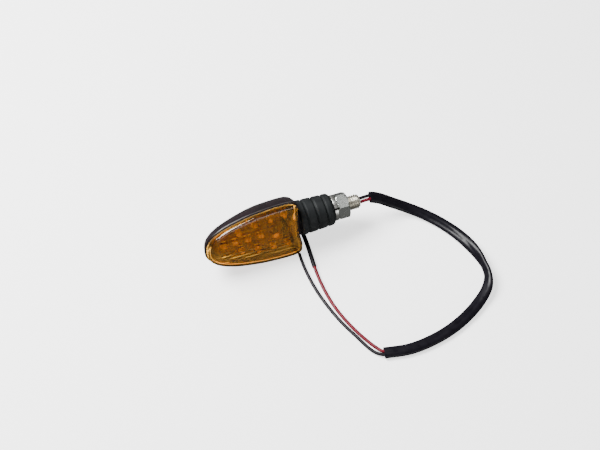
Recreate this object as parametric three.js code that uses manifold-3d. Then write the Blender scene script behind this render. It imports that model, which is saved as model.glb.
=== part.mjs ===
// Motorcycle turn signal indicator on a flexible stem, in millimetres, +Z up, lying on its side.
// The lamp is drawn in its own frame (x along the stem axis from the tip to the stud, y along the
// height of the lens, z out of the lens) and is then rolled and set down on the surface.
import * as THREE from "three";
import { mergeVertices } from "three/addons/utils/BufferGeometryUtils.js";
import Module from "manifold-3d";

const wasm = await Module();
wasm.setup();
const { Manifold } = wasm;

// ---- driving dimensions --------------------------------------------------------------------

const ROLL = THREE.MathUtils.degToRad(73); // lens faces 17 degrees above the horizon
const AXIS_HEIGHT = 15.65; // stem axis above the surface
const SHIFT = new THREE.Vector3(-43.35, 2.1, AXIS_HEIGHT); // lamp frame origin in the part frame

const RIM_Z = 6; // plane where the lens meets the housing
const LENS_FACE_Z = 9.6;
const LENS_CROWN = 1.5;
const LENS_WALL = 1.6;
const HOUSING_BACK_Z = -7;
const HOUSING_TIP_BACK_Z = -1.5;
const HOUSING_WALL = 1.8;
const HOUSING_LIP = 0.9; // how far the housing stands out round the lens
const SEAL_THICKNESS = 0.5;
const FACE_GAP = 0.08; // clearance between faces that touch

const COLLAR_RADIUS = [8.3, 8.8]; // inside the housing and where it meets the stem
const COLLAR_START = 45.5;
const COLLAR_FLARE = 48;
const COLLAR_END = 52.6;
const PLUG_BORE = 5.5;
const FLANGE_START = 43;
const FLANGE_RADIUS = 6.2; // end of the rubber stem, inside the housing

const BOARD_Z = 1.5;
const BOARD_THICKNESS = 1.6;
const SCREW_X = 38;

const STEM_RADIUS = [9.6, 8.7]; // at the collar and at the clamping face
const STEM_GROOVE_DEPTH = 1;
const STEM_START = 52.9;
const STEM_GROOVES = [56.6, 62.1, 67.6];
const STEM_END = 72;
const LEAD_BORE = 2.4; // hole through the rubber stem
const THREAD_RADIUS = 4; // M8 x 1.25
const THREAD_ROOT = 3.3;
const THREAD_PITCH = 1.25;
const STUD_BORE = 2.2;
const STUD_HEAD = [64.2, 66.8]; // moulded into the rubber stem
const STUD_HEAD_RADIUS = 6;
const STUD_SHANK_RADIUS = 3.95;
const STUD_END = 87.6;
const WASHER_THICKNESS = 2;
const WASHER_RADIUS = 7.1;
const NUT_HEIGHT = 6.5;
const NUT_ACROSS_FLATS = 13;
const NUT_TURN = Math.PI / 6;

const WIRE_RADIUS = 0.9;
const WIRE_OFFSET = 1; // each wire from the middle of the sleeve
const SLEEVE_HALF = [3.2, 1.6]; // flat sleeve, outside
const SLEEVE_BORE_HALF = [2.5, 1.15];
const SLEEVE_START = 3; // index in CABLE where the sleeve begins
const SLEEVE_STEPS = 56;
const WIRE_STEPS = 78;
const END_SLEEVE_RADIUS = [1.3, 1.03]; // outside and inside
const END_SLEEVE_LENGTH = 25;
const END_SLEEVE_STEPS = 10;

// Middle of the two wires from inside the stud to the far end of the flat sleeve, in the part frame:
// [x, y, z, twist], where twist 0 lies flat and 90 stands on its edge.
const CABLE = [
  [19.2, 2.1, 15.65, 20], [32.2, 2.1, 15.65, 20], [45.7, 2.1, 15.65, 20], [50.8, 2.35, 15.2, 20],
  [55.7, 1.4, 13.3, 20], [63.2, -0.8, 8.4, 15], [70.6, -4, 4.6, 8], [78.7, -10.4, 2.6, 5],
  [86.5, -20.4, 2.2, 8], [92, -31.4, 2.7, 22], [95.1, -42.2, 3.3, 55], [96, -50.8, 3.5, 82],
  [95.4, -57.7, 3.4, 70], [91.9, -64.6, 2.8, 30], [84.8, -70.8, 2, 8], [75.2, -76.6, 1.7, 2],
  [64.2, -81.2, 1.7, 0], [52.2, -84, 1.7, 0], [39.7, -84.8, 1.7, 0], [26.7, -82.6, 1.7, 0],
];

// The bare tails beyond the sleeve, on the surface, ending under the neck of the lamp.
const RED_TAIL = [
  [24.2, -78.2, 1.2], [19.2, -68.5, 0.95], [15, -57.6, 0.95], [12.4, -48, 0.95], [11.1, -39, 0.95],
  [10.6, -30, 0.95], [10.7, -21.5, 1.5], [11.3, -14, 1.5], [11.8, -7.5, 1.5], [12, -1, 1.5], [11.8, 5, 1.5],
];
const BLACK_TAIL = [
  [22.2, -80, 1.2], [16.4, -67.4, 0.95], [12.2, -57, 0.95], [9, -46, 0.95], [7, -36.5, 0.95],
  [6, -28, 0.95], [5.6, -20.5, 0.95], [5.7, -15, 0.95], [6, -10.4, 0.95],
];

// Half of the lens outline from the tip to the base: [x, half height].
const OUTLINE = [
  [0, 0], [0.3, 2.7], [1.4, 5.2], [4, 8], [8, 10.5], [14, 12.9], [21, 14.7],
  [29, 16.1], [37, 16.8], [43.5, 17], [47.8, 16.7], [50.4, 15.6], [51.4, 13.6],
  [51.1, 10], [50.5, 5], [50.3, 0],
];

// ---- materials -----------------------------------------------------------------------------

const MATERIALS = {
  amber: { color: 0xc87a10, roughness: 0.12, metalness: 0, transparent: true, opacity: 0.8 },
  gloss_black: { color: 0x121214, roughness: 0.2, metalness: 0 },
  rubber: { color: 0x1b1c1e, roughness: 0.75, metalness: 0 },
  seal: { color: 0x2a2a2a, roughness: 0.8, metalness: 0 },
  sleeve: { color: 0x17171b, roughness: 0.35, metalness: 0 },
  red: { color: 0xa81820, roughness: 0.4, metalness: 0 },
  black: { color: 0x1a1a1a, roughness: 0.4, metalness: 0 },
  zinc: { color: 0xb9b8ae, roughness: 0.3, metalness: 1 },
  steel: { color: 0x9c9c98, roughness: 0.35, metalness: 1 },
  board: { color: 0x3a2818, roughness: 0.5, metalness: 0 },
  led: { color: 0xe8b84a, roughness: 0.15, metalness: 0 },
  resistor: { color: 0x20242c, roughness: 0.5, metalness: 0 },
  diode: { color: 0x15151a, roughness: 0.5, metalness: 0 },
};

const group = new THREE.Group();
const lamp = new THREE.Group();
lamp.rotation.x = ROLL;
lamp.position.copy(SHIFT);
group.add(lamp);

function add(name, geometry, material, parent = lamp) {
  const mesh = new THREE.Mesh(geometry, new THREE.MeshStandardMaterial(MATERIALS[material]));
  mesh.name = name;
  parent.add(mesh);
}

// ---- solids and geometries -----------------------------------------------------------------

// A closed solid; the faces are turned round if they point inwards.
function solidFromTriangles(vertices, triangles) {
  const make = (triVerts) => new Manifold(new wasm.Mesh({
    numProp: 3,
    vertProperties: new Float32Array(vertices),
    triVerts: new Uint32Array(triVerts),
  }));
  const solid = make(triangles);
  if (solid.volume() > 0) return solid;
  return make([...triangles].reverse());
}

function solidOf(geometry) {
  geometry.deleteAttribute("normal");
  geometry.deleteAttribute("uv");
  const merged = mergeVertices(geometry, 1e-4);
  const index = merged.index.array;
  const triangles = [];
  for (let i = 0; i < index.length; i += 3) {
    const [a, b, c] = index.slice(i, i + 3);
    if (a !== b && b !== c && c !== a) triangles.push(a, b, c);
  }
  return solidFromTriangles(merged.attributes.position.array, triangles);
}

function geometryOf(solid) {
  const mesh = solid.getMesh();
  const count = mesh.numVert;
  const positions = new Float32Array(count * 3);
  for (let i = 0; i < count; i++) {
    positions.set(mesh.vertProperties.subarray(i * mesh.numProp, i * mesh.numProp + 3), i * 3);
  }
  const geometry = new THREE.BufferGeometry();
  geometry.setAttribute("position", new THREE.BufferAttribute(positions, 3));
  geometry.setIndex(new THREE.BufferAttribute(new Uint32Array(mesh.triVerts), 1));
  return geometry;
}

// A closed skin through rings of equal length, with a flat cap on the first and the last.
function loft(rings) {
  const n = rings[0].length;
  const vertices = rings.flat().flatMap((p) => [p.x, p.y, p.z]);
  const triangles = [];
  for (let k = 0; k + 1 < rings.length; k++) {
    for (let i = 0; i < n; i++) {
      const a = k * n + i;
      const b = k * n + ((i + 1) % n);
      triangles.push(a, b, b + n, a, b + n, a + n);
    }
  }
  const cap = (ring, start, flip) => {
    const shape = ring.map((p) => new THREE.Vector2(p.x, p.y));
    for (const [a, b, c] of THREE.ShapeUtils.triangulateShape(shape, [])) {
      triangles.push(start + a, start + (flip ? c : b), start + (flip ? b : c));
    }
  };
  cap(rings[0], 0, true);
  cap(rings[rings.length - 1], (rings.length - 1) * n, false);
  return solidFromTriangles(vertices, triangles);
}

// A solid of revolution about the lamp's x axis from an [x, radius] profile, which either starts and
// ends on the axis or is closed here.
function turned(profile, segments = 40) {
  const points = profile.map(([x, r]) => new THREE.Vector2(r, x));
  if (points[0].x > 0) points.push(points[0].clone());
  return solidOf(new THREE.LatheGeometry(points, segments).rotateZ(-Math.PI / 2));
}

// A cylinder along x.
function rod(x0, x1, radius, segments = 32, y = 0, z = 0) {
  return solidOf(new THREE.CylinderGeometry(radius, radius, x1 - x0, segments)
    .rotateZ(Math.PI / 2).translate((x0 + x1) / 2, y, z));
}

// A cylinder along z.
function post(x, y, z0, z1, radius, segments = 24) {
  return solidOf(new THREE.CylinderGeometry(radius, radius, z1 - z0, segments)
    .rotateX(Math.PI / 2).translate(x, y, (z0 + z1) / 2));
}

function block(length, width, height, x, y, z) {
  return solidOf(new THREE.BoxGeometry(length, width, height).translate(x, y, z));
}

// The lens outline, counter-clockwise and moved inwards by inset.
function outline(inset) {
  const half = new THREE.CatmullRomCurve3(OUTLINE.map(([x, y]) => new THREE.Vector3(x, y, 0)))
    .getPoints(32);
  const top = half.slice(0, -1).map((p) => new THREE.Vector2(p.x, Math.max(p.y, 0)));
  const bottom = half.slice(1).reverse().map((p) => new THREE.Vector2(p.x, -Math.max(p.y, 0)));
  const loop = [...top, ...bottom].reverse();
  const n = loop.length;
  return loop.map((p, i) => {
    const before = loop[(i + n - 1) % n];
    const after = loop[(i + 1) % n];
    const along = after.clone().sub(before).normalize();
    return new THREE.Vector2(p.x - along.y * inset, p.y + along.x * inset);
  });
}

// A flat plate with the given outline between two heights.
function plate(points, z0, z1) {
  const shape = new THREE.Shape(points);
  return solidOf(new THREE.ExtrudeGeometry(shape, { depth: z1 - z0, bevelEnabled: false })
    .translate(0, 0, z0));
}

// The outline drawn in towards the spine of the lamp by a share of its width, at height z(x).
function ring(inset, share, height) {
  return outline(inset).map((p) => {
    const spine = THREE.MathUtils.clamp(p.x, 9, 42);
    const x = THREE.MathUtils.lerp(p.x, spine, share);
    const y = p.y * (1 - share);
    return new THREE.Vector3(x, y, height(x));
  });
}

// ---- housing -------------------------------------------------------------------------------

function backDepth(x) {
  const t = THREE.MathUtils.smoothstep(x, 0, 34);
  return RIM_Z - THREE.MathUtils.lerp(HOUSING_TIP_BACK_Z, HOUSING_BACK_Z, t);
}

// [share of the depth, share drawn in] from the rim to the middle of the back.
const BACK_PROFILE = [
  [0, 0], [0.3, 0.05], [0.58, 0.12], [0.78, 0.22], [0.9, 0.36], [0.97, 0.58], [1, 0.86],
];

function backShell(inset, thinner, rise = 0) {
  const rings = BACK_PROFILE.map(([deep, share]) =>
    ring(inset, share, (x) => RIM_Z - deep * (backDepth(x) - thinner)));
  if (rise > 0) rings[0] = ring(inset, 0, () => RIM_Z + rise);
  return loft(rings);
}

function buildHousing() {
  const outer = backShell(-HOUSING_LIP, 0);
  const shell = outer.subtract(backShell(HOUSING_WALL - HOUSING_LIP, HOUSING_WALL, 1));
  const aboveRim = block(70, 60, 20, 17.2, 0, RIM_Z + 10);
  const [narrow, wide] = COLLAR_RADIUS;
  const collar = turned([
    [COLLAR_START, 0], [COLLAR_START, narrow], [COLLAR_FLARE, narrow], [COLLAR_FLARE + 1, wide],
    [COLLAR_END, wide], [COLLAR_END, 0],
  ]).subtract(aboveRim);
  const tower = post(SCREW_X, 0, HOUSING_BACK_Z + 1, BOARD_Z - FACE_GAP, 3.2);
  const ledges = [[13, 5], [13, -5], [43.5, 9.4], [43.5, -9.4]]
    .map(([x, y]) => post(x, y, -4, BOARD_Z - FACE_GAP, 1.6, 16));
  const whole = Manifold.union([shell, collar, tower, ...ledges]);
  return whole.intersect(outer.add(collar))
    .subtract(rod(COLLAR_START - 5, COLLAR_END + 1, PLUG_BORE, 40))
    .subtract(rod(FLANGE_START - 0.3, COLLAR_START, FLANGE_RADIUS + 0.2, 40))
    .subtract(post(SCREW_X, 0, HOUSING_BACK_Z - 2, BOARD_Z + 1, 1.7))
    .subtract(post(SCREW_X, 0, HOUSING_BACK_Z - 2, HOUSING_BACK_Z + 2.4, 3.0));
}

// ---- lens, seal and screw ------------------------------------------------------------------

const LENS_PROFILE = [
  [0, 0], [0.72, 0.02], [0.9, 0.045], [1, 0.1],
];

function lensBase() {
  return RIM_Z + SEAL_THICKNESS + 2 * FACE_GAP;
}

function lensDome(inset, drop) {
  const base = lensBase() - (drop > 0 ? 0.5 : 0);
  const face = LENS_FACE_Z - drop;
  const rings = LENS_PROFILE.map(([up, share]) =>
    ring(inset, share, () => THREE.MathUtils.lerp(base, face, up)));
  for (const [share, rise] of [[0.25, 0.35], [0.45, 0.62], [0.7, 0.87], [0.93, 1]]) {
    rings.push(ring(inset, share, () => face + LENS_CROWN * rise));
  }
  return loft(rings);
}

function buildLens() {
  const shell = lensDome(0, 0).subtract(lensDome(LENS_WALL, LENS_WALL));
  const boss = post(SCREW_X, 0, BOARD_Z + BOARD_THICKNESS + FACE_GAP, LENS_FACE_Z, 2.6);
  let lens = shell.add(boss).subtract(post(SCREW_X, 0, 0, LENS_FACE_Z - 0.6, 1.6));
  for (let y = -12; y <= 12; y += 2.4) {
    const reach = 46 - Math.abs(y) * 0.2;
    const start = 7 + Math.abs(y) * 1.1;
    const flute = rod(start, reach, 0.8, 10, y, LENS_FACE_Z - LENS_WALL + 0.35);
    if (Math.abs(y) > 0.1) lens = lens.subtract(flute);
  }
  return lens;
}

function buildSeal() {
  const z0 = RIM_Z + FACE_GAP;
  const opening = plate(outline(1.3), z0 - 1, z0 + SEAL_THICKNESS + 1);
  return plate(outline(0.1), z0, z0 + SEAL_THICKNESS).subtract(opening);
}

function buildScrew() {
  const head = post(SCREW_X, 0, HOUSING_BACK_Z + 0.3, HOUSING_BACK_Z + 2.3, 2.7);
  const shank = post(SCREW_X, 0, HOUSING_BACK_Z + 1, LENS_FACE_Z - 1.6, 1.45);
  const slot = block(3.4, 0.8, 2, SCREW_X, 0, HOUSING_BACK_Z + 0.3);
  const crossSlot = block(0.8, 3.4, 2, SCREW_X, 0, HOUSING_BACK_Z + 0.3);
  return head.add(shank).subtract(slot).subtract(crossSlot);
}

// ---- circuit board and its parts -----------------------------------------------------------

const LED_RADIUS = 1.5;
const LED_SIDES = 14;
const LED_SITES = [
  [10, 0], [16.5, 0], [23.5, 0], [30.5, 0],
  [19, 5.8], [28, 8], [36.5, 9.2], [44.5, 9.6],
  [19, -5.8], [28, -8], [36.5, -9.2], [44.5, -9.6],
];

// The board follows the lens outline, smaller, and is notched for the end of the rubber stem.
function buildBoard() {
  const shape = outline(0).map((p) => new THREE.Vector2(4.4 + p.x * 0.82, p.y * 0.74));
  const flangeNotch = block(20, 14, 20, 52.5, 0, 0);
  const collarNotch = block(20, 16.8, 20, 55.1, 0, 0);
  return plate(shape, BOARD_Z, BOARD_Z + BOARD_THICKNESS)
    .subtract(flangeNotch).subtract(collarNotch).subtract(post(SCREW_X, 0, 0, 5, 1.7));
}

function buildLed(x, y) {
  const z = BOARD_Z + BOARD_THICKNESS + FACE_GAP;
  const foot = post(x, y, z, z + 0.9, LED_RADIUS + 0.25, LED_SIDES);
  const wall = post(x, y, z, z + 2, LED_RADIUS, LED_SIDES);
  const dome = solidOf(new THREE.SphereGeometry(LED_RADIUS, LED_SIDES, 8).rotateX(Math.PI / 2)
    .translate(x, y, z + 2));
  return foot.add(wall).add(dome);
}

function buildChip(x, y, length, width, height) {
  return block(length, width, height, x, y, BOARD_Z - FACE_GAP - height / 2);
}

function addBoardParts() {
  LED_SITES.forEach(([x, y], i) => {
    add(`led_${String(i + 1).padStart(2, "0")}`, geometryOf(buildLed(x, y)), "led");
  });
  [[24, 5], [24, -5], [30, 5], [30, -5]].forEach(([x, y], i) => {
    add(`resistor_${i + 1}`, geometryOf(buildChip(x, y, 3.2, 1.6, 0.6)), "resistor");
  });
  add("protection_diode", geometryOf(buildChip(18, 0, 4.5, 2.6, 2)), "diode");
}

// ---- rubber stem and stud ------------------------------------------------------------------

// Outer radius of the stem at x, between its grooves.
function stemRadius(x) {
  return THREE.MathUtils.mapLinear(x, STEM_START, STEM_END, ...STEM_RADIUS);
}

function buildStem() {
  const flangeEnd = COLLAR_START - 0.3;
  const neck = PLUG_BORE - 0.2;
  const profile = [
    [FLANGE_START + 1.4, LEAD_BORE], [FLANGE_START, 3.6], [FLANGE_START, FLANGE_RADIUS],
    [flangeEnd, FLANGE_RADIUS], [flangeEnd, neck], [STEM_START, neck],
    [STEM_START, stemRadius(STEM_START) - 0.5], [STEM_START + 0.5, stemRadius(STEM_START)],
  ];
  for (const x of STEM_GROOVES) {
    const r = stemRadius(x);
    const floor = r - STEM_GROOVE_DEPTH;
    profile.push([x - 0.8, r], [x - 0.3, floor], [x + 0.3, floor], [x + 0.8, r]);
  }
  const endRadius = stemRadius(STEM_END);
  profile.push([STEM_END - 1.6, endRadius], [STEM_END - 0.5, endRadius - 0.5], [STEM_END, endRadius - 1.5]);
  profile.push([STEM_END, STUD_SHANK_RADIUS + 0.2], [STUD_HEAD[1] + 0.2, STUD_SHANK_RADIUS + 0.2]);
  profile.push([STUD_HEAD[1] + 0.2, STUD_HEAD_RADIUS + 0.2], [STUD_HEAD[0] - 0.2, STUD_HEAD_RADIUS + 0.2]);
  profile.push([STUD_HEAD[0] - 0.2, LEAD_BORE]);
  return turned(profile);
}

// The stud's head is moulded into the rubber; its thread is drawn as separate rings.
function buildStud() {
  const profile = [
    [STUD_HEAD[0], STUD_BORE], [STUD_HEAD[0], STUD_HEAD_RADIUS], [STUD_HEAD[1], STUD_HEAD_RADIUS],
    [STUD_HEAD[1], STUD_SHANK_RADIUS], [STEM_END + 0.2, STUD_SHANK_RADIUS],
  ];
  for (let x = STEM_END + 0.4; x + THREAD_PITCH < STUD_END - 0.6; x += THREAD_PITCH) {
    profile.push([x + 0.15, THREAD_ROOT], [x + 0.55, THREAD_RADIUS], [x + 0.8, THREAD_RADIUS]);
  }
  profile.push([STUD_END - 0.6, THREAD_ROOT], [STUD_END, THREAD_ROOT], [STUD_END, STUD_BORE]);
  return turned(profile, 32);
}

function buildWasher() {
  const x = STEM_END + 0.2;
  const disc = rod(x, x + WASHER_THICKNESS, WASHER_RADIUS, 40);
  const hole = rod(x - 1, x + WASHER_THICKNESS + 1, THREAD_RADIUS + 0.2, 32);
  const split = new THREE.BoxGeometry(8, 1, 6).rotateX(Math.PI * 0.14).translate(x, 0, 5.6);
  return disc.subtract(hole).subtract(solidOf(split));
}

function buildNut() {
  const start = STEM_END + 0.2 + WASHER_THICKNESS + 0.15;
  const end = start + NUT_HEIGHT;
  const corner = NUT_ACROSS_FLATS / Math.sqrt(3);
  const hex = solidOf(new THREE.CylinderGeometry(corner, corner, NUT_HEIGHT, 6)
    .rotateZ(Math.PI / 2).rotateX(NUT_TURN).translate((start + end) / 2, 0, 0));
  const chamfer = turned([
    [start, 0], [start, corner - 0.9], [start + 0.5, corner + 0.05], [end - 0.5, corner + 0.05],
    [end, corner - 0.9], [end, 0],
  ], 48);
  return hex.intersect(chamfer).subtract(rod(start - 1, end + 1, THREAD_RADIUS + 0.1, 32));
}

// ---- wires ---------------------------------------------------------------------------------

const UP = new THREE.Vector3(0, 0, 1);

function curveThrough(points) {
  const vectors = points.map(([x, y, z]) => new THREE.Vector3(x, y, z));
  return new THREE.CatmullRomCurve3(vectors, false, "centripetal");
}

// Position with sideways and upward directions, turned by twist degrees about the direction of travel.
function frame(at, along, twist = 0) {
  const side = UP.clone().cross(along).normalize();
  const over = along.clone().cross(side);
  const angle = THREE.MathUtils.degToRad(twist);
  const wide = side.multiplyScalar(Math.cos(angle)).addScaledVector(over, Math.sin(angle));
  return { at, wide, thin: along.clone().cross(wide) };
}

function cableFrame(t) {
  const curve = curveThrough(CABLE);
  const place = t * (CABLE.length - 1);
  const i = Math.min(Math.floor(place), CABLE.length - 2);
  const twist = THREE.MathUtils.lerp(CABLE[i][3], CABLE[i + 1][3], place - i);
  return frame(curve.getPoint(t), curve.getTangent(t), twist);
}

// A flat tube whose section turns as it goes along the frames.
function flatTube(frames, outer, inner) {
  const n = outer.length;
  const stride = 2 * n;
  const vertices = frames.flatMap(({ at, wide, thin }) =>
    [...outer, ...inner].flatMap(([u, v]) =>
      at.clone().addScaledVector(wide, u).addScaledVector(thin, v).toArray()));
  const triangles = [];
  const quad = (a, b, c, d) => triangles.push(a, b, c, a, c, d);
  const last = (frames.length - 1) * stride;
  for (let i = 0; i < n; i++) {
    const j = (i + 1) % n;
    for (let here = 0; here < last; here += stride) {
      const next = here + stride;
      quad(here + i, here + j, next + j, next + i);
      quad(here + n + j, here + n + i, next + n + i, next + n + j);
    }
    quad(j, i, n + i, n + j);
    quad(last + i, last + j, last + n + j, last + n + i);
  }
  return solidFromTriangles(vertices, triangles);
}

// A rounded rectangle as [u, v] points.
function flatSection(halfWidth, halfThickness) {
  const sides = 10;
  const soften = (value) => Math.sign(value) * Math.abs(value) ** (2 / 3);
  return Array.from({ length: sides }, (_, i) => {
    const angle = (2 * Math.PI * (i + 0.5)) / sides;
    return [halfWidth * soften(Math.cos(angle)), halfThickness * soften(Math.sin(angle))];
  });
}

function buildSleeve() {
  const start = SLEEVE_START / (CABLE.length - 1);
  const frames = Array.from({ length: SLEEVE_STEPS + 1 }, (_, i) =>
    cableFrame(THREE.MathUtils.lerp(start, 1, i / SLEEVE_STEPS)));
  return flatTube(frames, flatSection(...SLEEVE_HALF), flatSection(...SLEEVE_BORE_HALF));
}

function circle(radius, Kind) {
  return new Kind(Array.from({ length: 8 }, (_, i) => {
    const angle = (Math.PI * i) / 4;
    return new THREE.Vector2(radius * Math.cos(angle), radius * Math.sin(angle));
  }));
}

// A round wire along a curve, or a tube when it has an inner radius.
function roundAlong(curve, steps, radius, innerRadius = 0) {
  const shape = circle(radius, THREE.Shape);
  if (innerRadius > 0) shape.holes.push(circle(innerRadius, THREE.Path));
  return solidOf(new THREE.ExtrudeGeometry(shape, { steps, extrudePath: curve, bevelEnabled: false }));
}

// Each wire lies beside the middle of the cable and goes on into its own tail.
function wireCurve(side, tail) {
  const points = CABLE.map((_, i) => {
    const { at, wide } = cableFrame(i / (CABLE.length - 1));
    return at.addScaledVector(wide, side * WIRE_OFFSET).toArray();
  });
  return curveThrough([...points, ...tail]);
}

function buildEndSleeve(curve) {
  const length = curve.getLength();
  const to = (length - 1.5) / length;
  const from = to - END_SLEEVE_LENGTH / length;
  const points = Array.from({ length: END_SLEEVE_STEPS + 1 }, (_, i) =>
    curve.getPointAt(THREE.MathUtils.lerp(from, to, i / END_SLEEVE_STEPS)).toArray());
  return roundAlong(curveThrough(points), END_SLEEVE_STEPS, ...END_SLEEVE_RADIUS);
}

function addCables() {
  const red = wireCurve(-1, RED_TAIL);
  const black = wireCurve(1, BLACK_TAIL);
  add("red_wire", geometryOf(roundAlong(red, WIRE_STEPS, WIRE_RADIUS)), "red", group);
  add("black_wire", geometryOf(roundAlong(black, WIRE_STEPS, WIRE_RADIUS)), "black", group);
  add("cable_sleeve", geometryOf(buildSleeve()), "sleeve", group);
  add("wire_end_sleeve", geometryOf(buildEndSleeve(red)), "seal", group);
}

// The stretch of each wire inside the housing and the rubber stem.
function addLeads() {
  for (const [name, side] of [["red", 1], ["black", -1]]) {
    const path = [
      [40.4, side * 4.4, 0.3], [40.9, side * 3.7, -1.3], [42.3, side * 2.1, -0.9],
      [45, side * 1.15, 0], [53, side * 1.15, 0], [61, side * 1.15, 0],
    ];
    add(`${name}_lead`, geometryOf(roundAlong(curveThrough(path), 14, WIRE_RADIUS)), name);
  }
}

// ---- assembly ------------------------------------------------------------------------------

add("housing", geometryOf(buildHousing()), "gloss_black");
add("lens", geometryOf(buildLens()), "amber");
add("lens_seal", geometryOf(buildSeal()), "seal");
add("lens_screw", geometryOf(buildScrew()), "steel");
add("circuit_board", geometryOf(buildBoard()), "board");
addBoardParts();
add("rubber_stem", geometryOf(buildStem()), "rubber");
add("threaded_stud", geometryOf(buildStud()), "zinc");
add("lock_washer", geometryOf(buildWasher()), "zinc");
add("hex_nut", geometryOf(buildNut()), "zinc");
addLeads();
addCables();

export default group;
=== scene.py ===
"""Looks of a motorcycle turn signal indicator on a flexible rubber stem, lying on a pale surface.

Everything is drawn in the lamp's own frame in millimetres (x along the stem axis from the tip of the lens,
y along the height of the lens, z out of the lens) and placed in the row frame by LAMP. Wires are drawn in
the row frame.
"""
import math

import bmesh
import bpy
import numpy as np
from mathutils import Matrix, Vector


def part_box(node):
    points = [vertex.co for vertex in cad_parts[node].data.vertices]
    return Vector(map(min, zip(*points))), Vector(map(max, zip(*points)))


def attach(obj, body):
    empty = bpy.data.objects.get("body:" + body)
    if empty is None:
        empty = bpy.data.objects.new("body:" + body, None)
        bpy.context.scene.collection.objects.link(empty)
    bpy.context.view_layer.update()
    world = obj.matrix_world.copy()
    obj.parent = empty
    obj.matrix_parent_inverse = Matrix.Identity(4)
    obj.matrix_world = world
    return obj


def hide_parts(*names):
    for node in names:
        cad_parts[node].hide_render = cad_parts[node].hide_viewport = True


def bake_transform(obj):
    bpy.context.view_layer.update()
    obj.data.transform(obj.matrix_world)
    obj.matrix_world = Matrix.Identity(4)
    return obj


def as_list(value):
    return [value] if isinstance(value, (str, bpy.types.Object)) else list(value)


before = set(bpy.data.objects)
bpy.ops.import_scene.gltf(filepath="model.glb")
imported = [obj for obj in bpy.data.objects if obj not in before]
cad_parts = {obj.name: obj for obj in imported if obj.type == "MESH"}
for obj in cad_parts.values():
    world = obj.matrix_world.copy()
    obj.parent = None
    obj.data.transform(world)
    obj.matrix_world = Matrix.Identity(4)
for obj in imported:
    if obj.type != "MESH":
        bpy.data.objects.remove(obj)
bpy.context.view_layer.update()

MM = 0.001

# ---- where things are ------------------------------------------------------------------------

stud_low, stud_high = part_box("threaded_stud")
AXIS_Y = (stud_low.y + stud_high.y) / 2
AXIS_Z = (stud_low.z + stud_high.z) / 2
TIP_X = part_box("lens")[0].x
ROLL = math.radians(73)
LAMP = (Matrix.Translation((TIP_X, AXIS_Y, AXIS_Z)) @ Matrix.Rotation(ROLL, 4, "X")
        @ Matrix.Scale(MM, 4))


def lamp_x(x):
    """A row-frame x in metres as the lamp's x in millimetres."""
    return (x - TIP_X) / MM


RIM_Z = 6.0
SEAM = 0.66  # seal and clearances between the housing and the lens
LENS_FACE_Z = 9.6
LENS_CROWN = 1.5
LENS_WALL = 1.6
HOUSING_BACK_Z = -7.0
HOUSING_TIP_BACK_Z = -1.5
HOUSING_WALL = 1.8
HOUSING_LIP = 0.9
COLLAR_RADIUS = (8.3, 8.8)  # inside the housing and where it meets the stem
COLLAR_START = 45.5
COLLAR_FLARE = 48.0
COLLAR_END = 52.6
COLLAR_BORE = 5.5
HOUSING_RIM_ROUND = 0.35
SCREW_X = 38.0
SCREW_HEAD_HOLE = (3.0, 1.4)  # radius, and depth from the back
SCREW_HOLE = (1.7, 3.0)
LENS_END = 51.4
BOARD_TOP = 3.1

STEM_RADIUS = (9.6, 8.7)
STEM_GROOVES = (56.6, 62.1, 67.6)
STEM_START = lamp_x(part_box("housing")[1].x) + 0.3
STEM_END = lamp_x(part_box("rubber_stem")[1].x)
GROOVE_DEPTH = 0.7
GROOVE_HALF_WIDTH = 0.45
STEM_BORE = 2.6
PLUG_START = 43.0  # the end of the stem that holds in the housing
PLUG_STEP = 45.2
PLUG_RADIUS = 6.2
PLUG_NECK = 5.3
STUD_POCKET_END = 67.0  # the hollow round the stud's head
STUD_POCKET_RADIUS = 6.2
STUD_CLEARANCE = 4.15
STEM_SEAM = 60.0  # between the two halves of the stem
BEND_REACH = 5.0  # a distance from the seam, on either side
STUD_END = lamp_x(stud_high.x)
THREAD_PITCH = 1.25
THREAD_RADIUS = 4.0
THREAD_DEPTH = 0.7
STUD_BORE = 2.2
STUD_SHANK = 3.95
STUD_HEAD = (64.2, 66.8)
STUD_HEAD_RADIUS = 6.0
NUT_FLATS = 13.0

WIRE_RADIUS = 0.9
WIRE_OFFSET = 1.0
SLEEVE_HALF = (3.2, 1.6)
SLEEVE_WALL = 0.5
SLEEVE_FULLNESS = 0.92  # 1 is an ellipse, less is squarer
SLEEVE_DIP = (0.12, 0.6)  # share of the thickness, and half width, of the hollow between the wires
SLEEVE_START = 3  # the point of CABLE where the sleeve starts
END_SLEEVE_LENGTH = 25.0
END_SLEEVE_RADII = (1.22, 0.95)
WIRE_TIP = 1.5  # bare of the end sleeve

# Half of the lens outline from the tip to the base.
OUTLINE = [
    (0, 0), (0.3, 2.7), (1.4, 5.2), (4, 8), (8, 10.5), (14, 12.9), (21, 14.7),
    (29, 16.1), (37, 16.8), (43.5, 17), (47.8, 16.7), (50.4, 15.6), (51.4, 13.6),
    (51.1, 10), (50.5, 5), (50.3, 0),
]

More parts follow.
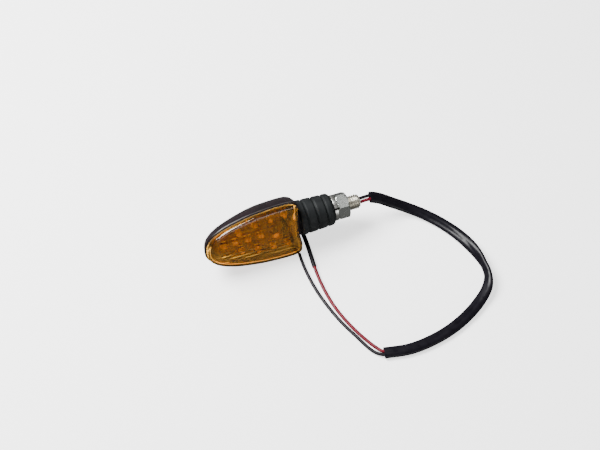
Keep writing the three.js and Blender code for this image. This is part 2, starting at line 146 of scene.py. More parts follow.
# Middle of the two wires from inside the stud to the far end of the flat sleeve, in the row frame in
# millimetres: x, y, z and twist, where twist 0 lies flat and 90 stands on its edge.
CABLE = [
    (19.2, 2.1, 15.65, 20), (32.2, 2.1, 15.65, 20), (45.7, 2.1, 15.65, 20), (50.8, 2.35, 15.2, 20),
    (55.7, 1.4, 13.3, 20), (63.2, -0.8, 8.4, 15), (70.6, -4, 4.6, 8), (78.7, -10.4, 2.6, 5),
    (86.5, -20.4, 2.2, 8), (92, -31.4, 2.7, 22), (95.1, -42.2, 3.3, 55), (96, -50.8, 3.5, 82),
    (95.4, -57.7, 3.4, 70), (91.9, -64.6, 2.8, 30), (84.8, -70.8, 2, 8), (75.2, -76.6, 1.7, 2),
    (64.2, -81.2, 1.7, 0), (52.2, -84, 1.7, 0), (39.7, -84.8, 1.7, 0), (26.7, -82.6, 1.7, 0),
]
RED_TAIL = [
    (24.2, -78.2, 1.2), (19.2, -68.5, 0.95), (15, -57.6, 0.95), (12.4, -48, 0.95), (11.1, -39, 0.95),
    (10.6, -30, 0.95), (10.7, -21.5, 1.5), (11.3, -14, 1.5), (11.8, -7.5, 1.5), (12, -1, 1.5),
    (11.8, 5, 1.5),
]
BLACK_TAIL = [
    (22.2, -80, 1.2), (16.4, -67.4, 0.95), (12.2, -57, 0.95), (9, -46, 0.95), (7, -36.5, 0.95),
    (6, -28, 0.95), (5.6, -20.5, 0.95), (5.7, -15, 0.95), (6, -10.4, 0.95),
]


# ---- curves ----------------------------------------------------------------------------------

def spline(points, per_span):
    """Points on a centripetal Catmull-Rom curve, per_span to each span, with the last point."""
    p = np.array(points, float)
    p = np.vstack([2 * p[0] - p[1], p, 2 * p[-1] - p[-2]])
    out = []
    for i in range(1, len(p) - 2):
        a, b, c, d = p[i - 1], p[i], p[i + 1], p[i + 2]
        d0, d1, d2 = (max(math.sqrt(np.linalg.norm(v)), 1e-4) for v in (b - a, c - b, d - c))
        start = ((b - a) / d0 - (c - a) / (d0 + d1) + (c - b) / d1) * d1
        end = ((c - b) / d1 - (d - b) / (d1 + d2) + (d - c) / d2) * d1
        for k in range(per_span):
            t = k / per_span
            out.append(b + start * t + (3 * (c - b) - 2 * start - end) * t**2
                       + (2 * (b - c) + start + end) * t**3)
    out.append(p[-2])
    return np.array(out)


def evenly(points, step):
    """The same polyline with points about step apart."""
    lengths = np.r_[0, np.cumsum(np.linalg.norm(np.diff(points, axis=0), axis=1))]
    count = max(int(round(lengths[-1] / step)), 2)
    where = np.linspace(0, lengths[-1], count + 1)
    return np.stack([np.interp(where, lengths, points[:, k]) for k in range(points.shape[1])], 1)


def length_of(points):
    return float(np.linalg.norm(np.diff(points, axis=0), axis=1).sum())


def smoothstep(value, low, high):
    t = min(max((value - low) / (high - low), 0), 1)
    return t * t * (3 - 2 * t)


# ---- meshes ----------------------------------------------------------------------------------

def mesh_object(name, vertices, faces, matrix=LAMP, sharp_degrees=35):
    """A mesh in the row frame, smooth except at edges sharper than sharp_degrees."""
    mesh = bpy.data.meshes.new(name)
    mesh.from_pydata([tuple(matrix @ Vector(v)) for v in vertices], [], faces)
    piece = bpy.data.objects.new(name, mesh)
    bpy.context.scene.collection.objects.link(piece)
    finish_mesh(piece, sharp_degrees)
    return piece


def finish_mesh(piece, sharp_degrees):
    work = bmesh.new()
    work.from_mesh(piece.data)
    bmesh.ops.recalc_face_normals(work, faces=work.faces)
    limit = math.radians(sharp_degrees)
    for edge in work.edges:
        edge.smooth = len(edge.link_faces) == 2 and edge.calc_face_angle(0) < limit
    for face in work.faces:
        face.smooth = True
    work.to_mesh(piece.data)
    work.free()


def mirrored_cap(first, n):
    """Strips that join each point of a ring to its mirror point, for a ring mirrored about point 0."""
    faces = [(first, first + 1, first + n - 1)]
    faces += [(first + i, first + i + 1, first + n - i - 1, first + n - i) for i in range(1, n // 2 - 1)]
    return faces + [(first + n // 2 - 1, first + n // 2, first + n // 2 + 1)]


def ring_faces(count, n, closed=False, mirrored=False):
    """Quads between count rings of n points, and caps unless the rings close on themselves."""
    faces = []
    for k in range(count if closed else count - 1):
        here, after = k * n, ((k + 1) % count) * n
        for i in range(n):
            j = (i + 1) % n
            faces.append((here + i, here + j, after + j, after + i))
    if mirrored:
        faces += mirrored_cap(0, n) + mirrored_cap((count - 1) * n, n)
    elif not closed:
        faces.append(tuple(range(n - 1, -1, -1)))
        faces.append(tuple(range((count - 1) * n, count * n)))
    return faces


def lofted(name, rings, closed=False, mirrored=False, **options):
    vertices = [tuple(p) for ring in rings for p in ring]
    faces = ring_faces(len(rings), len(rings[0]), closed, mirrored)
    return mesh_object(name, vertices, faces, **options)


def turned(name, profile, n=96, radius_at=None, **options):
    """A ring-shaped solid about the lamp's x axis from a closed (x, radius) profile.

    radius_at(x, radius, angle) may change the radius with the angle, as on a hexagon or a thread."""
    rings = []
    for i in range(n):
        angle = 2 * math.pi * i / n
        ring = []
        for x, radius in profile:
            r = radius_at(x, radius, angle) if radius_at else radius
            ring.append((x, r * math.cos(angle), r * math.sin(angle)))
        rings.append(ring)
    return lofted(name, rings, closed=True, **options)


def rounded(corners, radius, steps=4):
    """A closed polygon's corners as small arcs of about the given radius."""
    out = []
    n = len(corners)
    for i, corner in enumerate(corners):
        p = np.array(corner, float)
        before = np.array(corners[i - 1], float) - p
        after = np.array(corners[(i + 1) % n], float) - p
        reach = min(radius, 0.45 * np.linalg.norm(before), 0.45 * np.linalg.norm(after))
        a = p + before / np.linalg.norm(before) * reach
        b = p + after / np.linalg.norm(after) * reach
        for k in range(steps + 1):
            t = k / steps
            out.append(tuple((1 - t) ** 2 * a + 2 * t * (1 - t) * p + t * t * b))
    return out


# ---- materials -------------------------------------------------------------------------------

class Look:
    """A Principled material with a small helper for procedural detail in object coordinates."""

    def __init__(self, name, color, roughness, **sockets):
        self.material = bpy.data.materials.new(name)
        self.material.use_nodes = True
        self.tree = self.material.node_tree
        self.shader = self.tree.nodes["Principled BSDF"]
        self.shader.inputs["Base Color"].default_value = (*color, 1)
        self.shader.inputs["Roughness"].default_value = roughness
        for socket, value in sockets.items():
            self.shader.inputs[socket.replace("_", " ")].default_value = value
        self.place = self.tree.nodes.new("ShaderNodeTexCoord").outputs["Object"]

    def node(self, kind, **values):
        node = self.tree.nodes.new(kind)
        for key, value in values.items():
            if isinstance(value, bpy.types.NodeSocket):
                self.tree.links.new(value, node.inputs[key])
            elif key in node.inputs:
                node.inputs[key].default_value = value
            else:
                setattr(node, key, value)
        return node

    def stretched(self, scale):
        return self.node("ShaderNodeMapping", Vector=self.place, Scale=scale).outputs["Vector"]

    def noise(self, scale, detail=3.0, stretch=(1, 1, 1)):
        where = self.stretched(stretch)
        return self.node("ShaderNodeTexNoise", Vector=where, Scale=scale, Detail=detail).outputs["Fac"]

    def remap(self, value, low, high, from_low=0.3, from_high=0.7):
        spread = self.node("ShaderNodeMapRange", Value=value)
        spread.inputs["From Min"].default_value = from_low
        spread.inputs["From Max"].default_value = from_high
        spread.inputs["To Min"].default_value = low
        spread.inputs["To Max"].default_value = high
        return spread.outputs["Result"]

    def vary_color(self, value, first, second, at=(0.3, 0.7)):
        ramp = self.node("ShaderNodeValToRGB", Fac=value)
        ramp.color_ramp.elements[0].position, ramp.color_ramp.elements[1].position = at
        ramp.color_ramp.elements[0].color = (*first, 1)
        ramp.color_ramp.elements[1].color = (*second, 1)
        self.tree.links.new(ramp.outputs["Color"], self.shader.inputs["Base Color"])

    def vary_roughness(self, value, low, high):
        self.tree.links.new(self.remap(value, low, high), self.shader.inputs["Roughness"])

    def bump(self, height, distance, strength=1.0):
        node = self.node("ShaderNodeBump", Height=height, Distance=distance, Strength=strength)
        self.tree.links.new(node.outputs["Normal"], self.shader.inputs["Normal"])


def gloss_black():
    """Moulded ABS: deep black with a faint warm tint, polished, with handling marks."""
    look = Look("gloss_black_plastic", (0.008, 0.005, 0.007), 0.2, Coat_Weight=0.3, Coat_Roughness=0.08)
    look.vary_color(look.noise(160, 2), (0.006, 0.004, 0.005), (0.012, 0.007, 0.009))
    look.vary_roughness(look.noise(60, 3), 0.15, 0.27)
    look.bump(look.noise(900, 2), 0.00001, 0.35)
    return look.material


def stem_rubber():
    """Matte rubber, blue-green black, with a fine grain and a little bloom."""
    look = Look("stem_rubber", (0.007, 0.009, 0.0095), 0.62, Specular_IOR_Level=0.22)
    look.vary_color(look.noise(220, 4), (0.004, 0.005, 0.0055), (0.009, 0.0105, 0.011))
    look.vary_roughness(look.noise(500, 3), 0.5, 0.75)
    look.bump(look.noise(2600, 3), 0.00006, 0.6)
    return look.material


def zinc(name, color, roughness):
    """Zinc-plated steel: slightly uneven plating, fine turning marks."""
    look = Look(name, color, roughness, Metallic=1.0)
    dark = tuple(c * 0.86 for c in color)
    look.vary_color(look.noise(500, 4), dark, color)
    look.vary_roughness(look.noise(900, 3), roughness * 0.8, roughness * 1.4)
    look.bump(look.noise(1500, 2, (6, 1, 1)), 0.00001, 0.5)
    return look.material


def pvc(name, color, roughness, waves=0.0):
    """Soft PVC insulation with a slight unevenness along its length."""
    look = Look(name, color, roughness, Specular_IOR_Level=0.18)
    light = tuple(c * 1.5 + 0.001 for c in color)
    look.vary_color(look.noise(300, 3), color, light)
    look.vary_roughness(look.noise(260, 3), roughness * 0.8, roughness * 1.35)
    look.bump(look.noise(240, 2), 0.0001 + waves, 0.5)
    return look.material


def amber():
    """Clear amber acrylic."""
    look = Look("amber_acrylic", (0.72, 0.345, 0.043), 0.05, Transmission_Weight=0.98, IOR=1.49)
    look.vary_roughness(look.noise(300, 3), 0.03, 0.1)
    look.bump(look.noise(140, 2), 0.00006, 0.25)
    return look.material


def led_epoxy():
    """Pale yellow epoxy, slightly cloudy."""
    look = Look("led_epoxy", (1.0, 0.8, 0.3), 0.12, Transmission_Weight=0.2, IOR=1.5)
    look.vary_color(look.noise(800, 2), (0.98, 0.78, 0.25), (1.0, 0.95, 0.55))
    return look.material


def board_face():
    """Dark brown solder resist with lighter tracks showing through."""
    look = Look("circuit_board_resist", (0.1, 0.06, 0.03), 0.4)
    tracks = look.node("ShaderNodeTexVoronoi", Vector=look.place, Scale=330, feature="DISTANCE_TO_EDGE")
    look.vary_color(tracks.outputs["Distance"], (0.22, 0.1, 0.04), (0.04, 0.018, 0.011), (0.02, 0.05))
    look.bump(tracks.outputs["Distance"], 0.00005, 0.4)
    return look.material


def chip_black():
    """Moulded black resin of the resistors and the diode."""
    look = Look("moulded_chip", (0.03, 0.03, 0.033), 0.45)
    look.vary_color(look.noise(900, 2), (0.02, 0.02, 0.022), (0.05, 0.05, 0.055))
    return look.material


MATERIALS = {
    "housing": gloss_black(),
    "rubber": stem_rubber(),
    "nut": zinc("zinc_nut", (0.74, 0.77, 0.73), 0.2),
    "stud": zinc("zinc_stud", (0.70, 0.67, 0.58), 0.34),
    "washer": zinc("zinc_washer", (0.68, 0.68, 0.64), 0.3),
    "screw": zinc("plain_steel", (0.56, 0.56, 0.57), 0.3),
    "amber": amber(),
    "led": led_epoxy(),
    "board": board_face(),
    "chip": chip_black(),
    "seal": pvc("seal_rubber", (0.02, 0.02, 0.02), 0.6),
    "red": pvc("red_pvc", (0.1, 0.003, 0.01), 0.42),
    "black": pvc("black_pvc", (0.005, 0.004, 0.006), 0.42),
    "sleeve": pvc("sleeve_pvc", (0.0035, 0.003, 0.005), 0.3, 0.00005),
}


def dress(piece, material, body=None, replaces=()):
    """Gives a piece its material and slot, lets it ride on its body and hides the nodes it stands for."""
    piece.data.materials.clear()
    piece.data.materials.append(MATERIALS[material])
    if body:
        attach(piece, body)
    if replaces:
        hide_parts(*replaces)
    return piece


def dress_node(node, material):
    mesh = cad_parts[node].data
    mesh.materials.clear()
    mesh.materials.append(MATERIALS[material])


# ---- camera and light ------------------------------------------------------------------------

CAMERA_TARGET = Vector((0.01274, 0.00756, 0))
CAMERA_DISTANCE = 0.770
CAMERA_ELEVATION = math.radians(56)
CAMERA_YAW = math.radians(19.5)
CAMERA_LENS = 84.66


def add_camera():
    flat = math.cos(CAMERA_ELEVATION)
    forward = Vector((math.sin(CAMERA_YAW) * flat, math.cos(CAMERA_YAW) * flat,
                      -math.sin(CAMERA_ELEVATION)))
    data = bpy.data.cameras.new("camera")
    data.lens = CAMERA_LENS
    data.sensor_width = 36
    camera = bpy.data.objects.new("camera", data)
    camera.location = CAMERA_TARGET - forward * CAMERA_DISTANCE
    camera.rotation_euler = forward.to_track_quat("-Z", "Y").to_euler()
    bpy.context.scene.collection.objects.link(camera)
    bpy.context.scene.camera = camera


def add_area_light(name, location, target, size, power, color=(1, 1, 1)):
    data = bpy.data.lights.new(name, "AREA")
    data.shape = "RECTANGLE"
    data.size, data.size_y = size
    data.energy = power
    data.color = color
    light = bpy.data.objects.new(name, data)
    light.location = location
    light.rotation_euler = (Vector(target) - Vector(location)).to_track_quat("-Z", "Y").to_euler()
    bpy.context.scene.collection.objects.link(light)


def add_lights():
    world = bpy.data.worlds.new("world")
    world.use_nodes = True
    world.node_tree.nodes["Background"].inputs["Color"].default_value = (1, 1, 1, 1)
    world.node_tree.nodes["Background"].inputs["Strength"].default_value = 0.14
    bpy.context.scene.world = world
    add_area_light("key", (-0.4, 0.3, 0.7), (0.02, 0, 0), (0.5, 0.5), 26)
    add_area_light("front", (0.15, -1.0, 0.3), (0, 0, 0.02), (1.0, 0.3), 3.5)
    add_area_light("top", (0.24, 0.06, 0.8), (0.04, 0, 0.02), (0.1, 0.1), 0.06)


def add_floor():
    bpy.ops.mesh.primitive_plane_add(size=6, location=(0, 0, 0))
    floor = bpy.context.object
    floor.name = "floor"
    material = bpy.data.materials.new("floor")
    material.use_nodes = True
    shader = material.node_tree.nodes["Principled BSDF"]
    shader.inputs["Base Color"].default_value = (0.93, 0.93, 0.93, 1)
    shader.inputs["Roughness"].default_value = 0.9
    shader.inputs["Emission Color"].default_value = (1, 1, 1, 1)
    shader.inputs["Emission Strength"].default_value = 1.6
    floor.data.materials.append(material)
    floor.visible_glossy = False


# ---- wires -----------------------------------------------------------------------------------

def cable_frames(steps_per_span):
    """Centre, wide and thin directions along CABLE, turned by the twist."""
    centres = spline([p[:3] for p in CABLE], steps_per_span)
    count = len(centres)
    twists = np.interp(np.arange(count) / steps_per_span, np.arange(len(CABLE)), [p[3] for p in CABLE])
    along = np.gradient(centres, axis=0)
    frames = []
    for centre, travel, twist in zip(centres, along, twists):
        travel = Vector(travel).normalized()
        side = Vector((0, 0, 1)).cross(travel).normalized()
        over = travel.cross(side)
        angle = math.radians(twist)
        wide = side * math.cos(angle) + over * math.sin(angle)
        frames.append((Vector(centre), wide, travel.cross(wide)))
    return frames


def wire_path(side, tail):
    beside = [tuple(centre + wide * (side * WIRE_OFFSET)) for centre, wide, _ in cable_frames(1)]
    return evenly(spline(beside + tail, 12), 0.8)


def wire_curve(name, path, radius):
    data = bpy.data.curves.new(name, "CURVE")
    data.dimensions = "3D"
    data.bevel_depth = radius * MM
    data.bevel_resolution = 5
    data.use_fill_caps = True
    line = data.splines.new("POLY")
    line.points.add(len(path) - 1)
    for point, place in zip(line.points, path):
        point.co = (*(place * MM), 1)
    piece = bpy.data.objects.new(name, data)
    bpy.context.scene.collection.objects.link(piece)
    return piece


def tube_mesh(name, frames, outer, inner):
    """A hollow tube from sections of equal length carried along frames, in the row frame."""
    loops = []
    for section, order in ((outer, frames), (inner, frames[::-1])):
        for centre, wide, thin in order:
            loops.append([centre + wide * u + thin * v for u, v in section])
    return lofted(name, loops, closed=True, matrix=Matrix.Scale(MM, 4), sharp_degrees=50)


def sleeve_section(inset):
    """A flattened tube that sinks slightly between its two wires."""
    half_width, half_thickness = SLEEVE_HALF[0] - inset, SLEEVE_HALF[1] - inset
    section = []
    for i in range(40):
        angle = 2 * math.pi * i / 40
        c, s = math.cos(angle), math.sin(angle)
        u = half_width * math.copysign(abs(c) ** SLEEVE_FULLNESS, c)
        v = half_thickness * math.copysign(abs(s) ** SLEEVE_FULLNESS, s)
        v *= 1 - SLEEVE_DIP[0] * math.exp(-(u / SLEEVE_DIP[1]) ** 2)
        section.append((u, v))
    return section


def add_sleeve():
    steps = 10
    frames = cable_frames(steps)[SLEEVE_START * steps:]
    piece = tube_mesh("flat_cable_sleeve", frames, sleeve_section(0), sleeve_section(SLEEVE_WALL))
    dress(piece, "sleeve", "mount", ["cable_sleeve"])
    path = np.array([tuple(centre) for centre, _, _ in frames])
    round(length_of(path) * MM, 3)


def parallel_frames(path):
    """Frames along a path that don't twist."""
    along = np.gradient(path, axis=0)
    wide = Vector((0, 0, 1))
    frames = []
    for place, travel in zip(path, along):
        travel = Vector(travel).normalized()
        wide = (wide - travel * wide.dot(travel)).normalized()
        frames.append((Vector(place), wide, travel.cross(wide)))
    return frames


def circle(radius, n=28):
    angles = [2 * math.pi * i / n for i in range(n)]
    return [(radius * math.cos(a), radius * math.sin(a)) for a in angles]


def add_end_sleeve(path):
    """The short soft tube over the end of the red wire."""
    lengths = np.r_[0, np.cumsum(np.linalg.norm(np.diff(path, axis=0), axis=1))]
    end = lengths[-1] - WIRE_TIP
    inside = (lengths > end - END_SLEEVE_LENGTH) & (lengths < end)
    frames = parallel_frames(path[inside])
    outer, inner = (circle(radius) for radius in END_SLEEVE_RADII)
    piece = tube_mesh("red_wire_end_sleeve", frames, outer, inner)
    return dress(piece, "black", "mount", ["wire_end_sleeve"])


def add_wires():
    red_path = wire_path(-1, RED_TAIL)
    black_path = wire_path(1, BLACK_TAIL)
    end_sleeve = add_end_sleeve(red_path)
    for name, path, pieces in (("red", red_path, [end_sleeve]), ("black", black_path, [])):
        piece = wire_curve(f"{name}_wire_insulation", path, WIRE_RADIUS)
        dress(piece, name, "mount", [f"{name}_wire"])
        round(length_of(path) * MM, 3)
        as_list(pieces)


# ---- housing ---------------------------------------------------------------------------------

def outline(inset, per_span=6):
    """The lens outline as a closed loop of (x, y), moved inwards by inset."""
    half = spline([(x, y, 0) for x, y in OUTLINE], per_span)[:, :2]
    half[:, 1] = np.maximum(half[:, 1], 0)
    loop = np.vstack([half, half[-2:0:-1] * (1, -1)])
    along = np.roll(loop, -1, 0) - np.roll(loop, 1, 0)
    along /= np.linalg.norm(along, axis=1)[:, None]
    return loop + np.stack([along[:, 1], -along[:, 0]], 1) * inset


def drawn_in(loop, share, height):
    """The loop drawn in towards the spine of the lamp, at height z(x)."""
    ring = []
    for x, y in loop:
        spine = min(max(x, 9), 42)
        moved = x + (spine - x) * share
        ring.append((moved, y * (1 - share), height(moved)))
    return ring


def back_depth(x):
    t = smoothstep(x, 0, 34)
    return RIM_Z - (HOUSING_TIP_BACK_Z + (HOUSING_BACK_Z - HOUSING_TIP_BACK_Z) * t)


BACK_PROFILE = [
    (0, 0), (0.3, 0.05), (0.58, 0.12), (0.78, 0.22), (0.9, 0.36), (0.97, 0.58), (1, 0.86), (1.003, 0.96),
]


def back_rings(inset, thinner, start=0.0):
    profile = [p[:2] for p in spline([(a, b, 0) for a, b in BACK_PROFILE], 4)]
    loop = outline(inset)
    rings = []
    for deep, share in profile:
        def height(x, deep=deep):
            return RIM_Z - start - deep * (back_depth(x) - thinner - start)
        rings.append(drawn_in(loop, share, height))
    return rings


def add_housing():
    """The back shell with its rounded rim and counterbored screw hole, and the flared collar."""
    rim = HOUSING_RIM_ROUND
    outer = back_rings(-HOUSING_LIP, 0, rim)
    inner = back_rings(HOUSING_WALL - HOUSING_LIP, HOUSING_WALL)
    edge = [drawn_in(outline(-HOUSING_LIP + 0.1), 0, lambda x: RIM_Z - 0.1),
            drawn_in(outline(-HOUSING_LIP + rim), 0, lambda x: RIM_Z)]
    rings = outer[::-1] + edge + inner
    shell = lofted("lamp_housing", rings, mirrored=True, sharp_degrees=50)
    for outside, (radius, depth) in ((2, SCREW_HEAD_HOLE), (3, SCREW_HOLE)):
        cut_round(shell, (SCREW_X, 0), (HOUSING_BACK_Z - outside, HOUSING_BACK_Z + depth), radius)
    finish_mesh(shell, 40)
    dress(shell, "housing", "head", ["housing"])
    profile = rounded([
        (COLLAR_START, COLLAR_BORE), (COLLAR_END, COLLAR_BORE), (COLLAR_END, COLLAR_RADIUS[1]),
        (COLLAR_FLARE + 1, COLLAR_RADIUS[1]), (COLLAR_FLARE, COLLAR_RADIUS[0]),
        (COLLAR_START, COLLAR_RADIUS[0])], 0.4)
    collar = turned("housing_collar", profile, 120, sharp_degrees=50)
    cut_above(collar, RIM_Z)
    finish_mesh(collar, 40)
    dress(collar, "housing", "head")


def apply_cut(piece, tool):
    modifier = piece.modifiers.new("cut", "BOOLEAN")
    modifier.object = tool
    modifier.operation = "DIFFERENCE"
    modifier.solver = "EXACT"
    bpy.context.view_layer.update()
    result = bpy.data.meshes.new_from_object(piece.evaluated_get(bpy.context.evaluated_depsgraph_get()))
    piece.modifiers.clear()
    piece.data = result
    bpy.data.objects.remove(tool)


def cut_round(piece, place, heights, radius):
    """A round hole along the lamp's z."""
    x, y = place
    rings = [[(x + u, y + v, z) for u, v in circle(radius, 48)] for z in heights]
    apply_cut(piece, lofted("cutter", rings))


def cut_above(piece, z):
    x0, x1 = COLLAR_START - 2, LENS_END + HOUSING_LIP
    rings = [[(x0, -12, h), (x1, -12, h), (x1, 12, h), (x0, 12, h)] for h in (z, z + 12)]
    apply_cut(piece, lofted("cutter", rings))


# ---- lens ------------------------------------------------------------------------------------

LENS_BASE = RIM_Z + SEAM
LENS_SIDE = [(0, 0), (0.4, 0.008), (0.72, 0.02), (0.9, 0.045), (1, 0.1)]  # height and share drawn in
BOSS_RADII = (1.65, 2.6)
BOSS_HEIGHTS = (3.3, 8.3)
FLUTE_PITCH = 2.4
FLUTE_DEPTH = 0.18
FLUTE_TIP_FADE = (4, 9)  # the ribs fade in over these x
FLUTE_BASE_FADE = (45, 48)  # and out over these
FLUTE_SIDE_FADE = (12.5, 14)  # and out over these y
LENS_FACE_RINGS = 40


def lens_face_height(share):
    """Crown of the face over its rim, for a share drawn in."""
    return LENS_CROWN * math.sin(min(max((share - 0.1) / 0.85, 0), 1) * math.pi / 2)


def flute(x, y):
    """Height of the ribs inside the lens face, which run along the lamp and fade out at its edge."""
    rib = 0.5 - 0.5 * math.cos(2 * math.pi * y / FLUTE_PITCH)
    fade = smoothstep(x, *FLUTE_TIP_FADE) * (1 - smoothstep(x, *FLUTE_BASE_FADE))
    fade *= 1 - smoothstep(abs(y), *FLUTE_SIDE_FADE)
    return FLUTE_DEPTH * rib * fade


def lens_rings(inset, drop, ribbed):
    loop = outline(inset, 12)
    base, face = LENS_BASE, LENS_FACE_Z - drop
    side = [p[:2] for p in spline([(a, b, 0) for a, b in LENS_SIDE], 4)]
    rings = [drawn_in(loop, share, lambda x, u=up: base + (face - base) * u) for up, share in side]
    for k in range(1, LENS_FACE_RINGS + 1):
        share = 0.1 + 0.88 * k / LENS_FACE_RINGS
        rings.append(drawn_in(loop, share, lambda x, s=share: face + lens_face_height(s)))
    if ribbed:
        rings = [[(x, y, z - flute(x, y) * smoothstep(z, face, face + 0.2)) for x, y, z in ring]
                 for ring in rings]
    return rings


def add_lens():
    outer = lens_rings(0, 0, False)
    inner = lens_rings(LENS_WALL, LENS_WALL, True)
    lens = lofted("amber_lens_shell", outer[::-1] + inner, sharp_degrees=50)
    dress(lens, "amber", "head", ["lens"])


def add_lens_boss():
    """The hollow post inside the lens that takes the screw."""
    (inner, outer), (low, high) = BOSS_RADII, BOSS_HEIGHTS
    profile = rounded([(inner, low), (outer, low), (outer, high), (inner, high)], 0.15, 2)
    boss = spun_about_z("lens_screw_boss", profile, (SCREW_X, 0), 40)
    dress(boss, "amber", "head")


def spun_about_z(name, profile, place, n):
    """A ring-shaped solid about an axis along the lamp's z from a closed (radius, z) profile."""
    x, y = place
    rings = []
    for i in range(n):
        angle = 2 * math.pi * i / n
        rings.append([(x + r * math.cos(angle), y + r * math.sin(angle), z) for r, z in profile])
    return lofted(name, rings, closed=True)


# ---- board and LEDs --------------------------------------------------------------------------

LED_SITES = [
    (10, 0), (16.5, 0), (23.5, 0), (30.5, 0), (19, 5.8), (28, 8), (36.5, 9.2), (44.5, 9.6),
    (19, -5.8), (28, -8), (36.5, -9.2), (44.5, -9.6),
]
LED_RADIUS = 1.5
LED_FLANGE = (0.25, 0.8)  # past the wall, and height
LED_WALL_TOP = 2.0
LED_LIFT = 0.1  # off the board


def add_led(index, site):
    """A round LED: flange, wall and dome."""
    x, y = site
    z = BOARD_TOP + LED_LIFT
    flange, flange_top = LED_RADIUS + LED_FLANGE[0], LED_FLANGE[1]
    profile = [(flange, 0), (flange, flange_top)]
    profile += [(LED_RADIUS, flange_top + 0.1), (LED_RADIUS, LED_WALL_TOP)]
    for k in range(1, 9):
        angle = math.pi / 2 * k / 8
        profile.append((LED_RADIUS * math.cos(angle), LED_WALL_TOP + LED_RADIUS * math.sin(angle)))
    rings = [[(x + r * u, y + r * v, z + h) for u, v in circle(1, 32)] for r, h in profile[:-1]]
    rings.append([(x + 0.02 * u, y + 0.02 * v, z + profile[-1][1]) for u, v in circle(1, 32)])
    piece = lofted(f"led_body_{index:02d}", rings)
    dress(piece, "led", "head", [f"led_{index:02d}"])


def add_board():
    dress_node("circuit_board", "board")
    for i, site in enumerate(LED_SITES):
        add_led(i + 1, site)
    for i in range(4):
        dress_node(f"resistor_{i + 1}", "chip")
    dress_node("protection_diode", "chip")
    dress_node("lens_seal", "seal")
    dress_node("lens_screw", "screw")
    dress_node("red_lead", "red")
    dress_node("black_lead", "black")


# ---- rubber stem -----------------------------------------------------------------------------

def stem_radius(x):
    t = (x - STEM_START) / (STEM_END - STEM_START)
    return STEM_RADIUS[0] + (STEM_RADIUS[1] - STEM_RADIUS[0]) * t


def grooved(x, radius):
    """The stem's outer radius with its shallow round grooves."""
    for groove in STEM_GROOVES:
        radius -= GROOVE_DEPTH * math.exp(-((x - groove) / GROOVE_HALF_WIDTH) ** 2)
    return radius


def stem_skin(x0, x1):
    count = max(int((x1 - x0) / 0.2), 2)
    xs = [x0 + (x1 - x0) * k / count for k in range(count + 1)]
    return [(x, grooved(x, stem_radius(x))) for x in xs]


def add_stem():
    head_end = stem_skin(STEM_START + 0.5, STEM_SEAM)
    start_radius = stem_radius(STEM_START)
    left = [(PLUG_START, STEM_BORE), (PLUG_START, PLUG_RADIUS), (PLUG_STEP, PLUG_RADIUS),
            (PLUG_STEP, PLUG_NECK), (STEM_START, PLUG_NECK),
            (STEM_START, start_radius - 0.6), (STEM_START + 0.12, start_radius - 0.2)]
    left += head_end + [(STEM_SEAM, STEM_BORE)]
    end_radius = stem_radius(STEM_END)
    right = stem_skin(STEM_SEAM, STEM_END - 1.6)
    right += [(STEM_END - 1.1, end_radius - 0.12), (STEM_END - 0.6, end_radius - 0.45),
              (STEM_END - 0.2, end_radius - 1.0), (STEM_END, end_radius - 1.7),
              (STEM_END, STUD_CLEARANCE), (STUD_POCKET_END, STUD_CLEARANCE),
              (STUD_POCKET_END, STUD_POCKET_RADIUS), (STEM_SEAM, STUD_POCKET_RADIUS)]
    halves = (("rubber_stem_lamp_end", left, "stem", "head", STEM_SEAM, STEM_SEAM - BEND_REACH),
              ("rubber_stem_stud_end", right, "mount", "stem", STEM_SEAM + BEND_REACH, STEM_SEAM))
    for name, profile, first, second, start, end in halves:
        piece = turned(name, profile, 128, sharp_degrees=50)
        dress(piece, "rubber", None, ["rubber_stem"])
        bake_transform(piece)


# ---- stud, washer and nut --------------------------------------------------------------------

def thread_radius(x, angle, low, high):
    """A right-hand helix between two radii with a rounded V section."""
    phase = (x / THREAD_PITCH + angle / (2 * math.pi)) % 1
    ridge = 1 - abs(2 * phase - 1)
    shaped = smoothstep(ridge, 0.08, 0.92)
    return low + (high - low) * shaped


def add_stud():
    start = STEM_END + 0.3
    step = THREAD_PITCH / 10

    def radius_at(x, radius, angle):
        if radius < THREAD_RADIUS - 0.5 or x < start:
            return radius
        root = THREAD_RADIUS - THREAD_DEPTH
        fade = smoothstep(x, start, start + 1) * (1 - smoothstep(x, STUD_END - 1.1, STUD_END - 0.2))
        return root + (thread_radius(x, angle, root, THREAD_RADIUS) - root) * fade

    xs = np.arange(start, STUD_END - 0.02, step)
    head_start, head_end = STUD_HEAD
    profile = [(head_start, STUD_BORE), (head_start, STUD_HEAD_RADIUS), (head_end, STUD_HEAD_RADIUS),
               (head_end, STUD_SHANK), (start - 0.05, STUD_SHANK)]
    profile += [(x, THREAD_RADIUS) for x in xs]
    profile += [(STUD_END, THREAD_RADIUS - THREAD_DEPTH - 0.15), (STUD_END, STUD_BORE)]
    stud = turned("threaded_stud_m8", profile, 96, radius_at, sharp_degrees=60)
    dress(stud, "stud", "mount", ["threaded_stud"])


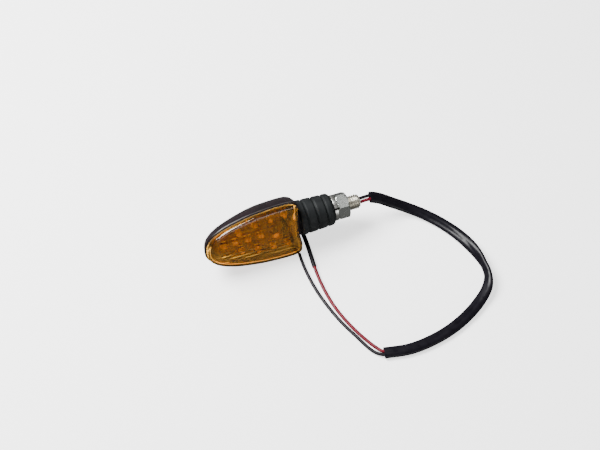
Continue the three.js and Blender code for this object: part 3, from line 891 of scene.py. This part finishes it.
def add_washer():
    """A split spring washer with rounded edges and a narrow gap."""
    low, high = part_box("lock_washer")
    x0, x1 = lamp_x(low.x), lamp_x(high.x)
    inner, outer = 4.2, (high.y - low.y) / 2 / MM
    section = rounded([(x0, inner), (x1, inner), (x1, outer), (x0, outer)], 0.25, 3)
    gap = math.radians(8)
    rings = []
    for i in range(91):
        angle = math.radians(60) + gap / 2 + (2 * math.pi - gap) * i / 90
        rings.append([(x, r * math.cos(angle), r * math.sin(angle)) for x, r in section])
    washer = lofted("split_lock_washer", rings, sharp_degrees=50)
    dress(washer, "washer", "washer", ["lock_washer"])


def add_nut():
    """A hexagon nut with turned chamfers and a threaded bore."""
    low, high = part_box("hex_nut")
    x0, x1 = lamp_x(low.x), lamp_x(high.x)
    half = NUT_FLATS / 2
    corner = NUT_FLATS / math.sqrt(3)

    def radius_at(x, radius, angle):
        if radius < THREAD_RADIUS + 0.5:
            depth = min(x - x0, x1 - x)
            mouth = 0.5 * (1 - smoothstep(depth, 0, 0.6))
            return thread_radius(x, angle, THREAD_RADIUS + 0.12, THREAD_RADIUS + 0.45) + mouth
        from_flat = angle % (math.pi / 3) - math.pi / 6
        return min(radius, half / math.cos(from_flat))

    slope = math.tan(math.radians(30))
    face = half - 0.25
    run = (corner - face) * slope
    outer = [(x0, face), (x0 + run * 0.25, face + (corner - face) * 0.25),
             (x0 + run * 0.5, face + (corner - face) * 0.5), (x0 + run, corner)]
    outer += [(x0 + run + (x1 - x0 - 2 * run) * k / 6, corner) for k in range(1, 7)]
    outer += [(x1 - run * 0.5, face + (corner - face) * 0.5),
              (x1 - run * 0.25, face + (corner - face) * 0.25), (x1, face)]
    count = int((x1 - x0) / (THREAD_PITCH / 8))
    bore = [(x1 - (x1 - x0) * k / count, THREAD_RADIUS + 0.3) for k in range(count + 1)]
    nut = turned("hexagon_nut", outer + bore, 144, radius_at, sharp_degrees=24)
    dress(nut, "nut", "nut", ["hex_nut"])


# ---- build -----------------------------------------------------------------------------------

add_camera()
add_wires()
add_sleeve()
add_housing()
add_lens()
add_lens_boss()
add_board()
add_stem()
add_stud()
add_washer()
add_nut()
add_lights()
add_floor()
